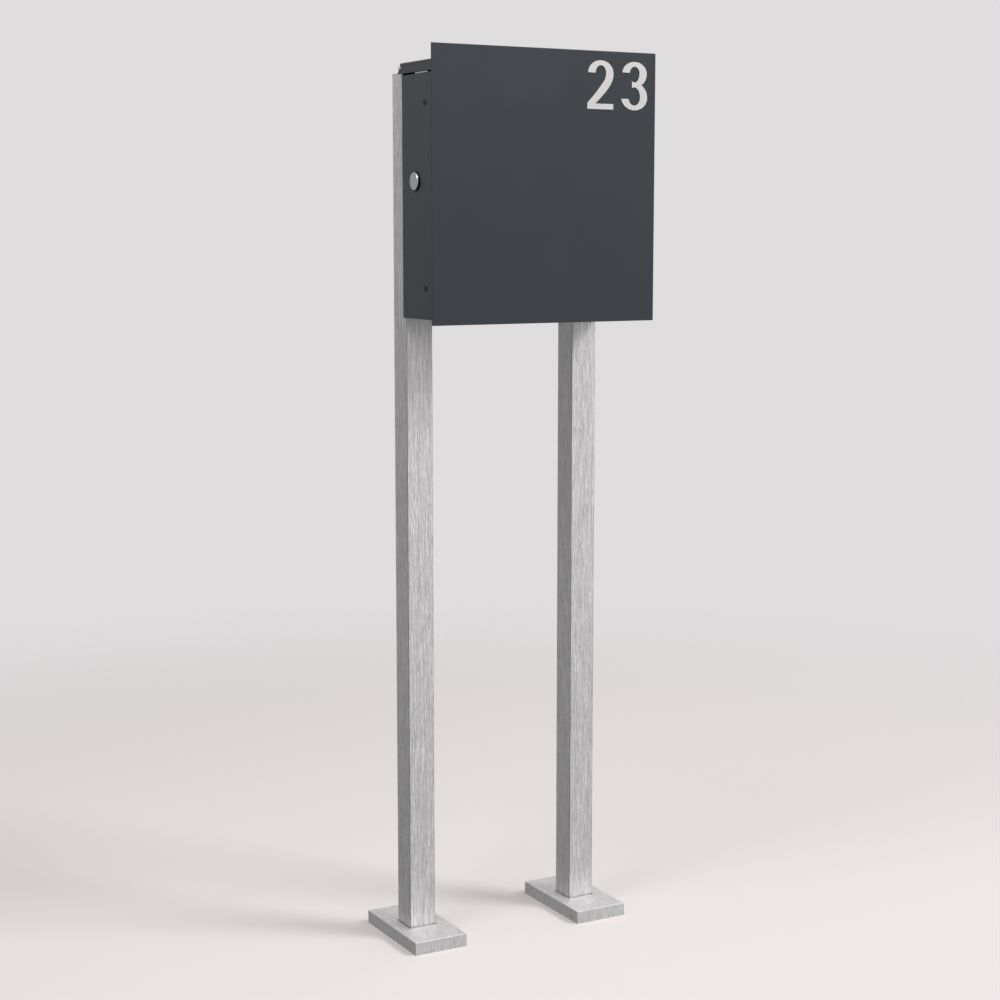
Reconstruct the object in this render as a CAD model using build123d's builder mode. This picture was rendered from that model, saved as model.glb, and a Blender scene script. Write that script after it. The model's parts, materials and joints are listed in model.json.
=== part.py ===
from build123d import *
import os

# A free-standing letterbox: a painted sheet-metal body and a wide front door on
# two square posts. Post goes in under the lid on top and is taken out through
# the door, which is hinged on the right and locked from the left side wall.
# Millimetres, +Z up, the front faces -Y. The origin is on the ground under the
# middle of the object's bounding box.

os.makedirs("parts", exist_ok=True)

# ---- driving dimensions -------------------------------------------------------

# posts
post_size = 41.0
post_wall = 2.0
post_corner = 1.2
post_inset = 6.0
post_above_body = 5.5
post_cap_thickness = 2.0
post_cap_plug_depth = 12.0
post_cap_plug_clearance = 0.2

# base plates and the covers that hide them
base_plate_width = 77.0
base_plate_depth = 154.0
base_plate_thickness = 8.0
base_plate_corner = 4.0
anchor_hole = 11.0
anchor_spacing_x = 52.0
anchor_spacing_y = 126.0
cover_height = 19.0
cover_sheet = 1.5
cover_gap_to_plate = 2.0
cover_gap_to_post = 1.5
cover_corner = 1.0

# body
body_width = 327.0
body_height = 336.0
body_depth = 104.3
body_base = 920.0
body_sheet = 1.5
body_bend = 2.5
door_rim = 8.0
top_rim_side = 12.0
top_rim_front = 12.0
drain_hole = 6.0
drain_edge = 30.0

# front door
plate_thickness = 2.0
plate_left_overhang = 8.0
plate_right_overhang = 25.0
plate_above_lid = 19.7
plate_below_body = 7.0
plate_corner = 1.0
door_gap = 2.0
seal_thickness = 1.6
seal_inset = 0.5
seal_side_inset = 0.5
frame_sheet = 1.2
frame_depth = 12.0
frame_face_width = 25.0
frame_clearance = 1.0

# door hinges
hinge_barrel_radius = 4.0
hinge_barrel_to_plate = 0.4
hinge_pin_radius = 2.0
hinge_running_clearance = 0.05
hinge_leaf_sheet = 1.5
hinge_length = 50.0
hinge_knuckle = 16.4
hinge_knuckle_gap = 0.4
hinge_wall_leaf = 40.0
hinge_door_leaf = 18.0
hinge_leaf_from = 5.0
hinge_heights = (90.0, 250.0)
hinge_screw_spacing = 30.0
hinge_screw_from_front = 32.0

# lid
lid_height = 14.6
lid_lift = 2.7
lid_sheet = 1.5
lid_to_plate = 1.5
lid_bend = 1.2
lid_side_clearance = 0.5
lid_tail_bottom = 7.0
lid_tail_top = -2.0
lid_stop_near = 4.0
lid_stop_far = 5.5
lid_stop_high = 2.8
lid_stop_low = 5.0
lid_stop_width = 4.0
lid_rod_radius = 3.0
lid_rod_proud = 1.0
lid_running_clearance = 0.06
sleeve_radius = 4.5
sleeve_over_post = 0.4
sleeve_length = 40.0
buffer_length = 37.0
buffer_height = 2.3
buffer_width = 7.0
buffer_from_front = 31.0
buffer_inset = 0.7

# cam lock in the left wall
lock_from_plate = 64.2
lock_height = 190.0
rosette_radius = 13.4
rosette_thickness = 2.2
rosette_chamfer = 0.5
lock_barrel_radius = 9.5
lock_barrel_flats = 16.0
lock_hole_clearance = 0.15
lock_barrel_depth = 19.0
lock_nut_size = 24.0
lock_nut_thickness = 5.0
plug_radius = 6.5
plug_head_radius = 8.0
plug_head_depth = 1.5
plug_clearance = 0.05
plug_recess = 0.3
keyway_length = 8.0
keyway_width = 2.0
keyway_depth = 14.0
cam_gap = 0.7
cam_thickness = 2.5
cam_width = 14.0
cam_length = 35.0
cam_square = 7.0
cam_screw_radius = 2.0
cam_screw_head_radius = 4.5
cam_screw_head_height = 2.5
cam_screw_length = 8.0
dust_cover_radius = 12.3
dust_cover_thickness = 1.2
dust_cover_gap = 0.3
dust_cover_chamfer = 0.5
dust_pin_radius = 1.0
dust_pin_offset = 10.0
dust_pin_clearance = 0.05

# catch on the door behind which the cam turns
catch_sheet = 1.5
catch_bottom = 202.0
catch_height = 26.0
catch_foot = 9.0
catch_foot_from_plate = 4.5
catch_lip_gap = 2.0
catch_lip_length = 12.0
catch_rivet_radius = 2.0
catch_rivet_head_radius = 3.5
catch_rivet_head_height = 1.5
catch_rivet_spacing = 14.0

# chute over the mail and lip that holds the mail when the door is open
chute_sheet = 1.2
chute_front = 12.2
chute_top_gap = 0.3
chute_knee = 9.0
chute_run = 46.0
chute_drop = 50.0
keeper_from_plate = 26.0
keeper_height = 78.0
keeper_hem = 6.0
tab_length = 20.0

# screws through the side walls
side_screw_from_plate = 36.0
side_screw_low = 43.0
side_screw_high = 296.0
side_screw_head_radius = 3.75
side_screw_head_height = 1.2
side_screw_radius = 2.0
side_clearance = 0.25
side_screw_length = 8.0
side_nut_size = 7.0
side_nut_thickness = 3.2
hinge_screw_head_radius = 3.8
hinge_screw_head_height = 2.2
hinge_screw_length = 8.0
hex_socket = 2.5
hex_socket_depth = 0.8

# bolts that hold the body on the posts
body_bolt_radius = 3.0
body_bolt_hole = 6.6
body_bolt_head_size = 10.0
body_bolt_head_height = 4.0
body_bolt_length = 13.0
body_washer_radius = 6.25
body_washer_thickness = 1.6
post_nut_thickness = 5.0
body_bolt_from_edge = 60.0

# house number on the front plate
digit_thickness = 1.0
digit_from_top = 13.2
digit_height = 67.8
digit_two_width = 43.1
digit_three_width = 44.0
digit_two_from_right = 114.5
digit_three_from_right = 58.3
digit_base = 7.8
stroke = 12.3
stroke_flat = 6.8
two_bowl_height = 17.4
two_bowl_inset = 1.2
three_high_height = 16.3
three_low_height = 18.0
three_high_left_inset = 1.9
three_high_right_inset = 1.1
three_waist = 35.6
three_arm_from_left = 18.0
three_high_end = 0.8
three_low_end = 2.3

# ---- positions that follow from the dimensions --------------------------------

body_front = plate_thickness + door_gap
body_rear = body_front + body_depth
body_top = body_base + body_height
body_half = body_width / 2
body_mid_y = (body_front + body_rear) / 2
inner_half = body_half - body_sheet
post_y = body_rear + post_size / 2
post_spacing = body_width - 2 * post_inset - post_size
post_height = body_top + post_above_body
cover_width = base_plate_width + 2 * cover_gap_to_plate + 2 * cover_sheet
cover_depth = base_plate_depth + 2 * cover_gap_to_plate + 2 * cover_sheet

lid_axis_y = body_rear + sleeve_radius
lid_axis_z = post_height + sleeve_over_post + sleeve_radius
lid_bottom = body_top + lid_lift
lid_top = lid_bottom + lid_height
lid_front = plate_thickness + lid_to_plate

plate_left = -body_half - plate_left_overhang
plate_right = body_half + plate_right_overhang
plate_width = plate_right - plate_left
plate_base = body_base - plate_below_body
plate_height = lid_top + plate_above_lid - plate_base
left_end = max(-plate_left, post_spacing / 2 + cover_width / 2)
right_end = max(plate_right, post_spacing / 2 + cover_width / 2)
rear_end = post_y + cover_depth / 2
mid_x = (left_end - right_end) / 2
front_y = (digit_thickness - rear_end) / 2

hinge_axis_x = body_half + hinge_barrel_radius
hinge_axis_y = plate_thickness + hinge_barrel_to_plate + hinge_barrel_radius
hinge_screw_y = body_front + hinge_screw_from_front

lock_z = body_base + lock_height
housing_rear = -body_half + lock_barrel_depth
cam_outer = housing_rear + cam_gap
cam_inner = cam_outer + cam_thickness
rosette_face = -body_half - rosette_thickness
plug_face = rosette_face + plug_recess
dust_cover_back = rosette_face - dust_cover_gap

frame_half = body_half - door_rim - frame_clearance
frame_low = body_base + door_rim + frame_clearance
frame_high = body_top - door_rim - frame_clearance
frame_mid_z = (frame_low + frame_high) / 2
frame_rear = plate_thickness + frame_depth

catch_low = body_base + catch_bottom
catch_foot_x = -frame_half + frame_sheet + catch_sheet / 2
catch_arm_x = housing_rear - catch_sheet / 2
catch_lip_y = lock_from_plate + cam_width / 2 + catch_lip_gap + catch_sheet / 2
catch_rivet_y = catch_foot_from_plate + catch_foot / 2
catch_rivet_z = catch_low + catch_height / 2

HANDS = (("left", -1), ("right", 1))
side_screw_heights = (body_base + side_screw_low, body_base + side_screw_high)
bolt_heights = (body_base + body_bolt_from_edge, body_top - body_bolt_from_edge)
hinge_centres = [body_base + h for h in hinge_heights]


# Working planes. Each one's local coordinates are measured from the middle
# between the posts, from the face of the front plate and from the ground.
def level(z):
    """A horizontal plane: local x to the right, local y to the rear, up is +."""
    return Plane(origin=(mid_x, front_y, z), x_dir=(1, 0, 0), z_dir=(0, 0, 1))


def facing(y):
    """An upright plane seen from the front: local x right, local y up, - is rearward."""
    return Plane(origin=(mid_x, front_y + y, 0), x_dir=(1, 0, 0), z_dir=(0, -1, 0))


def flank(x):
    """An upright plane along the side: local x rearward, local y up, + is to the right."""
    return Plane(origin=(mid_x + x, front_y, 0), x_dir=(0, 1, 0), z_dir=(1, 0, 0))


# ---- stand: posts, caps, base plates, covers ----------------------------------

for hand, sign in HANDS:
    post_x = sign * post_spacing / 2

    # square tube, welded to its base plate, with two bolt holes in its front wall
    with BuildPart() as post:
        with BuildSketch(level(base_plate_thickness)):
            with Locations((post_x, post_y)):
                RectangleRounded(post_size, post_size, post_corner)
                bore = post_size - 2 * post_wall
                RectangleRounded(bore, bore, post_corner - post_wall / 2, mode=Mode.SUBTRACT)
        extrude(amount=post_height - post_cap_thickness - base_plate_thickness)
        with BuildSketch(facing(body_rear)):
            with Locations(*[(post_x, z) for z in bolt_heights]):
                Circle(body_bolt_hole / 2)
        extrude(amount=-post_wall, mode=Mode.SUBTRACT)
    post.part.label = f"{hand}_post"
    export_step(post.part, f"parts/{hand}_post.step")

    # cap with a plug that sits in the top of the tube
    with BuildPart() as cap:
        with BuildSketch(level(post_height - post_cap_thickness)):
            with Locations((post_x, post_y)):
                RectangleRounded(post_size, post_size, post_corner)
        extrude(amount=post_cap_thickness)
        top_edges = cap.faces().sort_by(Axis.Z)[-1].edges()
        chamfer(top_edges, length=post_cap_thickness / 4)
        with BuildSketch(level(post_height - post_cap_thickness)):
            with Locations((post_x, post_y)):
                plug = post_size - 2 * post_wall - 2 * post_cap_plug_clearance
                RectangleRounded(plug, plug, post_corner - post_wall / 2)
                Rectangle(plug - 2 * post_wall, plug - 2 * post_wall, mode=Mode.SUBTRACT)
        extrude(amount=-post_cap_plug_depth)
    cap.part.label = f"{hand}_post_cap"
    export_step(cap.part, f"parts/{hand}_post_cap.step")

    # base plate with four anchor holes
    with BuildPart() as base_plate:
        with BuildSketch(level(0)):
            with Locations((post_x, post_y)):
                RectangleRounded(base_plate_width, base_plate_depth, base_plate_corner)
                with GridLocations(anchor_spacing_x, anchor_spacing_y, 2, 2):
                    Circle(anchor_hole / 2, mode=Mode.SUBTRACT)
        extrude(amount=base_plate_thickness)
    base_plate.part.label = f"{hand}_base_plate"
    export_step(base_plate.part, f"parts/{hand}_base_plate.step")

    # folded cover that drops over the base plate, cut out round the post
    with BuildPart() as cover:
        with BuildSketch(level(0)):
            with Locations((post_x, post_y)):
                RectangleRounded(cover_width, cover_depth, cover_corner)
        extrude(amount=cover_height)
        fillet(cover.faces().sort_by(Axis.Z)[-1].edges(), radius=cover_corner * 0.75)
        with BuildSketch(level(0)):
            with Locations((post_x, post_y)):
                Rectangle(cover_width - 2 * cover_sheet, cover_depth - 2 * cover_sheet)
        extrude(amount=cover_height - cover_sheet, mode=Mode.SUBTRACT)
        with BuildSketch(level(0)):
            with Locations((post_x, post_y)):
                cutout = post_size + 2 * cover_gap_to_post
                Rectangle(cutout, cutout)
        extrude(amount=cover_height, mode=Mode.SUBTRACT)
    cover.part.label = f"{hand}_foot_cover"
    export_step(cover.part, f"parts/{hand}_foot_cover.step")

# ---- body ---------------------------------------------------------------------

# folded shell: back, sides, floor, a rim round the door opening and a rim round
# the mail opening on top; the back wall carries on up to the lid hinge
with BuildPart() as body_shell:
    with BuildSketch(level(body_base)):
        with Locations((0, body_mid_y)):
            RectangleRounded(body_width, body_depth, body_bend)
    extrude(amount=body_height)
    with BuildSketch(level(body_base + body_sheet)):
        with Locations((0, body_mid_y)):
            RectangleRounded(
                body_width - 2 * body_sheet,
                body_depth - 2 * body_sheet,
                body_bend - body_sheet,
            )
    extrude(amount=body_height - 2 * body_sheet, mode=Mode.SUBTRACT)
    with BuildSketch(level(body_top)):
        mail_front = body_front + top_rim_front
        mail_rear = body_rear - body_sheet
        with Locations((0, (mail_front + mail_rear) / 2)):
            Rectangle(body_width - 2 * top_rim_side, mail_rear - mail_front)
    extrude(amount=-body_sheet, mode=Mode.SUBTRACT)
    with BuildSketch(facing(body_front)):
        with Locations((0, body_base + body_height / 2)):
            Rectangle(body_width - 2 * door_rim, body_height - 2 * door_rim)
    extrude(amount=-body_sheet, mode=Mode.SUBTRACT)
    with BuildSketch(facing(body_rear)):
        with Locations((0, (body_top + lid_axis_z) / 2)):
            upstand_half = inner_half - lid_side_clearance
            Rectangle(2 * upstand_half, lid_axis_z - body_top)
    extrude(amount=body_sheet)
    # bolt holes in the back
    with BuildSketch(facing(body_rear)):
        post_xs = (-post_spacing / 2, post_spacing / 2)
        with Locations(*[(x, z) for x in post_xs for z in bolt_heights]):
            Circle(body_bolt_hole / 2)
    extrude(amount=body_sheet, mode=Mode.SUBTRACT)
    # screw holes in both side walls
    with BuildSketch(flank(-body_half)):
        with Locations(*[(side_screw_from_plate, z) for z in side_screw_heights]):
            Circle(side_screw_radius + side_clearance)
    extrude(amount=body_width, mode=Mode.SUBTRACT)
    # hinge screw holes in the right wall
    with BuildSketch(flank(inner_half)):
        for centre in hinge_centres:
            for step in (-hinge_screw_spacing / 2, hinge_screw_spacing / 2):
                with Locations((hinge_screw_y, centre + step)):
                    Circle(side_screw_radius + side_clearance)
    extrude(amount=body_sheet, mode=Mode.SUBTRACT)
    # hole with two flats for the lock in the left wall
    with BuildSketch(flank(-body_half)):
        with Locations((lock_from_plate, lock_z)):
            Circle(lock_barrel_radius + lock_hole_clearance)
            flats = lock_barrel_flats + 2 * lock_hole_clearance
            Rectangle(flats, 3 * lock_barrel_radius, mode=Mode.INTERSECT)
    extrude(amount=body_sheet, mode=Mode.SUBTRACT)
    # drain holes in the floor corners
    with BuildSketch(level(body_base)):
        with Locations((0, body_mid_y)):
            drain_x = body_width - 2 * drain_edge
            drain_y = body_depth - 2 * drain_edge
            with GridLocations(drain_x, drain_y, 2, 2):
                Circle(drain_hole / 2)
    extrude(amount=body_sheet, mode=Mode.SUBTRACT)
body_shell.part.label = "body_shell"
export_step(body_shell.part, "parts/body_shell.step")

# chute that leads the mail back and keeps hands out: upright lip, slope, side tabs
chute_y = body_front + chute_front
chute_top = body_top - body_sheet - chute_top_gap
chute_knee_z = chute_top - chute_knee
tab_z = body_base + side_screw_high
tab_front = side_screw_from_plate - tab_length / 2
tab_rear = side_screw_from_plate + tab_length / 2


def slope_z(y):
    """Height of the chute's slope at a distance y behind the plate's face."""
    return chute_knee_z - chute_drop * (y - chute_y) / chute_run


with BuildPart() as mail_chute:
    with BuildSketch(flank(-inner_half)):
        with BuildLine():
            Polyline(
                (chute_y, chute_top),
                (chute_y, chute_knee_z),
                (chute_y + chute_run, slope_z(chute_y + chute_run)),
            )
        trace(line_width=chute_sheet)
    extrude(amount=2 * inner_half)
    for tab_x in (-inner_half, inner_half - chute_sheet):
        with BuildSketch(flank(tab_x)):
            with BuildLine():
                Polyline(
                    (tab_front, tab_z - tab_length / 2),
                    (tab_rear, tab_z - tab_length / 2),
                    (tab_rear, slope_z(tab_rear)),
                    (tab_front, slope_z(tab_front)),
                    close=True,
                )
            make_face()
            with Locations((side_screw_from_plate, tab_z)):
                Circle(side_screw_radius + side_clearance, mode=Mode.SUBTRACT)
        extrude(amount=chute_sheet)
mail_chute.part.label = "mail_chute"
export_step(mail_chute.part, "parts/mail_chute.step")

# low upright sheet that holds the mail in when the door is open
keeper_z = body_base + side_screw_low
with BuildPart() as mail_keeper:
    with BuildSketch(flank(-inner_half)):
        with BuildLine():
            Polyline(
                (keeper_from_plate, body_base + body_sheet),
                (keeper_from_plate, body_base + body_sheet + keeper_height),
                (
                    keeper_from_plate + keeper_hem,
                    body_base + body_sheet + keeper_height + keeper_hem / 2,
                ),
            )
        trace(line_width=chute_sheet)
    extrude(amount=2 * inner_half)
    for tab_x in (-inner_half, inner_half - chute_sheet):
        with BuildSketch(flank(tab_x)):
            with Locations(((keeper_from_plate + tab_rear) / 2, keeper_z)):
                Rectangle(tab_rear - keeper_from_plate, tab_length)
            with Locations((side_screw_from_plate, keeper_z)):
                Circle(side_screw_radius + side_clearance, mode=Mode.SUBTRACT)
        extrude(amount=chute_sheet)
mail_keeper.part.label = "mail_keeper"
export_step(mail_keeper.part, "parts/mail_keeper.step")

# soft gasket on the rim round the door opening
with BuildPart() as door_seal:
    with BuildSketch(facing(body_front)):
        with Locations((0, body_base + body_height / 2)):
            Rectangle(body_width - 2 * seal_side_inset, body_height - 2 * seal_inset)
            Rectangle(
                body_width - 2 * door_rim + 2 * seal_inset,
                body_height - 2 * door_rim + 2 * seal_inset,
                mode=Mode.SUBTRACT,
            )
    extrude(amount=seal_thickness)
door_seal.part.label = "door_seal"
export_step(door_seal.part, "parts/door_seal.step")

# soft pads on the top rim that the lid comes down on, one each side
with BuildPart() as lid_buffers:
    pad_x = body_half - buffer_inset - buffer_width / 2
    pad_y = buffer_from_front + buffer_length / 2
    with BuildSketch(level(body_top)):
        with Locations((-pad_x, pad_y), (pad_x, pad_y)):
            RectangleRounded(buffer_width, buffer_length, buffer_width / 4)
    extrude(amount=buffer_height)
lid_buffers.part.label = "lid_buffers"
export_step(lid_buffers.part, "parts/lid_buffers.step")

# ---- fasteners of the body ----------------------------------------------------

# hexagon bolts from inside the body, through its back, into the posts
bolt_head_y = body_rear - body_sheet - body_washer_thickness
bolt_places = [(x, z) for x in (-post_spacing / 2, post_spacing / 2) for z in bolt_heights]
with BuildPart() as body_bolts:
    with BuildSketch(facing(bolt_head_y)):
        with Locations(*bolt_places):
            RegularPolygon(body_bolt_head_size / 2, 6, major_radius=False)
    extrude(amount=body_bolt_head_height)
    with BuildSketch(facing(bolt_head_y)):
        with Locations(*bolt_places):
            Circle(body_bolt_radius)
    extrude(amount=-body_bolt_length)
body_bolts.part.label = "body_bolts"
export_step(body_bolts.part, "parts/body_bolts.step")

with BuildPart() as body_washers:
    with BuildSketch(facing(body_rear - body_sheet)):
        with Locations(*bolt_places):
            Circle(body_washer_radius)
            Circle(body_bolt_hole / 2, mode=Mode.SUBTRACT)
    extrude(amount=body_washer_thickness)
body_washers.part.label = "body_washers"
export_step(body_washers.part, "parts/body_washers.step")

# nuts welded on the inside of each post's front wall
with BuildPart() as post_nuts:
    with BuildSketch(facing(body_rear + post_wall)):
        with Locations(*bolt_places):
            RegularPolygon(body_bolt_head_size / 2, 6, major_radius=False)
            Circle(body_bolt_radius, mode=Mode.SUBTRACT)
    extrude(amount=-post_nut_thickness)
post_nuts.part.label = "post_nuts"
export_step(post_nuts.part, "parts/post_nuts.step")

# low-head socket screws through both side walls, for the chute and the keeper
side_places = [(side_screw_from_plate, z) for z in side_screw_heights]
with BuildPart() as side_screws:
    for sign in (-1, 1):
        with BuildSketch(flank(sign * body_half)):
            with Locations(*side_places):
                Circle(side_screw_head_radius)
        extrude(amount=sign * side_screw_head_height)
        with BuildSketch(flank(sign * body_half)):
            with Locations(*side_places):
                Circle(side_screw_radius)
        extrude(amount=-sign * side_screw_length)
        with BuildSketch(flank(sign * (body_half + side_screw_head_height))):
            with Locations(*side_places):
                RegularPolygon(hex_socket / 2, 6, major_radius=False)
        extrude(amount=-sign * hex_socket_depth, mode=Mode.SUBTRACT)
side_screws.part.label = "side_screws"
export_step(side_screws.part, "parts/side_screws.step")

with BuildPart() as side_nuts:
    for sign in (-1, 1):
        with BuildSketch(flank(sign * (inner_half - chute_sheet))):
            with Locations(*side_places):
                RegularPolygon(side_nut_size / 2, 6, major_radius=False)
                Circle(side_screw_radius, mode=Mode.SUBTRACT)
        extrude(amount=-sign * side_nut_thickness)
side_nuts.part.label = "side_nuts"
export_step(side_nuts.part, "parts/side_nuts.step")

# ---- lid and its hinge --------------------------------------------------------

# sleeves welded on the back of the body, one over each post and one between them
with BuildPart() as hinge_sleeves:
    sleeve_reach = inner_half - lid_side_clearance
    for sleeve_x in (-sleeve_reach, -sleeve_length / 2, sleeve_reach - sleeve_length):
        with BuildSketch(flank(sleeve_x)):
            with Locations((lid_axis_y, lid_axis_z)):
                Circle(sleeve_radius)
                Circle(lid_rod_radius, mode=Mode.SUBTRACT)
        extrude(amount=sleeve_length)
hinge_sleeves.part.label = "hinge_sleeves"
export_step(hinge_sleeves.part, "parts/hinge_sleeves.step")

# rod that runs the whole width, through the sleeves and the lid's sides
with BuildPart() as lid_rod:
    with BuildSketch(flank(-body_half - lid_rod_proud)):
        with Locations((lid_axis_y, lid_axis_z)):
            Circle(lid_rod_radius)
    extrude(amount=body_width + 2 * lid_rod_proud)
    fillet(lid_rod.edges().filter_by(GeomType.CIRCLE), radius=lid_rod_radius / 4)
lid_rod.part.label = "lid_rod"
export_step(lid_rod.part, "parts/lid_rod.step")

# folded lid: top, front flange and two sides that run on past the hinge, each
# with a small tab folded in that meets the back wall when the lid is open
with BuildPart() as lid:
    with BuildSketch(flank(-body_half)):
        with BuildLine():
            Polyline(
                (lid_front, lid_bottom),
                (lid_axis_y + lid_tail_bottom, lid_bottom),
                (lid_axis_y + lid_tail_top, lid_top),
                (lid_front, lid_top),
                close=True,
            )
        make_face()
    extrude(amount=body_width)
    top_edges = lid.faces().sort_by(Axis.Z)[-1].edges()
    fillet(top_edges.filter_by(Axis.Y) + top_edges.filter_by(Axis.X).sort_by(Axis.Y)[0:1], lid_bend)
    with BuildSketch(level(lid_bottom)):
        lid_inner_front = lid_front + lid_sheet
        lid_inner_rear = lid_axis_y + 2 * lid_tail_bottom
        with Locations((0, (lid_inner_front + lid_inner_rear) / 2)):
            Rectangle(2 * inner_half, lid_inner_rear - lid_inner_front)
    extrude(amount=lid_height - lid_sheet, mode=Mode.SUBTRACT)
    for tab_x in (-inner_half, inner_half - lid_stop_width):
        with BuildSketch(flank(tab_x)):
            with BuildLine():
                Polyline(
                    (lid_axis_y + lid_stop_near, lid_axis_z - lid_stop_high),
                    (lid_axis_y + lid_stop_far, lid_axis_z - lid_stop_high),
                    (lid_axis_y + lid_stop_far, lid_axis_z - lid_stop_low),
                    (lid_axis_y + lid_stop_near, lid_axis_z - lid_stop_low),
                    close=True,
                )
            make_face()
        extrude(amount=lid_stop_width)
    with BuildSketch(flank(-body_half)):
        with Locations((lid_axis_y, lid_axis_z)):
            Circle(lid_rod_radius + lid_running_clearance)
    extrude(amount=body_width, mode=Mode.SUBTRACT)
lid.part.label = "lid"
export_step(lid.part, "parts/lid.step")

# ---- front door ---------------------------------------------------------------

# flat front plate, wider and taller than the body
with BuildPart() as front_plate:
    with BuildSketch(facing(plate_thickness)):
        with Locations(((plate_left + plate_right) / 2, plate_base + plate_height / 2)):
            Rectangle(plate_width, plate_height)
    extrude(amount=plate_thickness)
    fillet(front_plate.edges().filter_by(Axis.Y), radius=plate_corner)
front_plate.part.label = "front_plate"
export_step(front_plate.part, "parts/front_plate.step")

# folded frame welded on the back of the plate, which enters the door opening
with BuildPart() as door_frame:
    with BuildSketch(facing(frame_rear)):
        with Locations((0, frame_mid_z)):
            Rectangle(2 * frame_half, frame_high - frame_low)
    extrude(amount=frame_depth)
    with BuildSketch(facing(frame_rear)):
        with Locations((0, frame_mid_z)):
            Rectangle(2 * (frame_half - frame_sheet), frame_high - frame_low - 2 * frame_sheet)
    extrude(amount=frame_depth - frame_sheet, mode=Mode.SUBTRACT)
    with BuildSketch(facing(frame_rear)):
        with Locations((0, frame_mid_z)):
            window_x = 2 * (frame_half - frame_face_width)
            window_z = frame_high - frame_low - 2 * frame_face_width
            Rectangle(window_x, window_z)
    extrude(amount=frame_depth, mode=Mode.SUBTRACT)
    # holes for the catch's rivets in the left flange
    with BuildSketch(flank(-frame_half)):
        with Locations((catch_rivet_y, catch_rivet_z)):
            with GridLocations(1, catch_rivet_spacing, 1, 2):
                Circle(catch_rivet_radius)
    extrude(amount=frame_sheet, mode=Mode.SUBTRACT)
door_frame.part.label = "door_frame"
export_step(door_frame.part, "parts/door_frame.step")

# catch: foot on the frame's left flange, arm along the wall above the lock's
# barrel, and a lip that lies behind the cam when the cam is turned up
with BuildPart() as catch:
    with BuildSketch(level(catch_low)):
        with BuildLine():
            Polyline(
                (catch_foot_x, catch_foot_from_plate),
                (catch_foot_x, catch_foot_from_plate + catch_foot),
                (catch_arm_x, catch_foot_from_plate + catch_foot + catch_arm_x - catch_foot_x),
                (catch_arm_x, catch_lip_y),
                (catch_arm_x + catch_lip_length, catch_lip_y),
            )
        trace(line_width=catch_sheet)
    extrude(amount=catch_height)
    with BuildSketch(flank(catch_foot_x - catch_sheet / 2)):
        with Locations((catch_rivet_y, catch_rivet_z)):
            with GridLocations(1, catch_rivet_spacing, 1, 2):
                Circle(catch_rivet_radius)
    extrude(amount=catch_sheet, mode=Mode.SUBTRACT)
catch.part.label = "catch"
export_step(catch.part, "parts/catch.step")

with BuildPart() as catch_rivets:
    with BuildSketch(flank(-frame_half)):
        with Locations((catch_rivet_y, catch_rivet_z)):
            with GridLocations(1, catch_rivet_spacing, 1, 2):
                Circle(catch_rivet_radius)
    extrude(amount=frame_sheet + catch_sheet)
    with BuildSketch(flank(catch_foot_x + catch_sheet / 2)):
        with Locations((catch_rivet_y, catch_rivet_z)):
            with GridLocations(1, catch_rivet_spacing, 1, 2):
                Circle(catch_rivet_head_radius)
    extrude(amount=catch_rivet_head_height, taper=20)
catch_rivets.part.label = "catch_rivets"
export_step(catch_rivets.part, "parts/catch_rivets.step")

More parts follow.
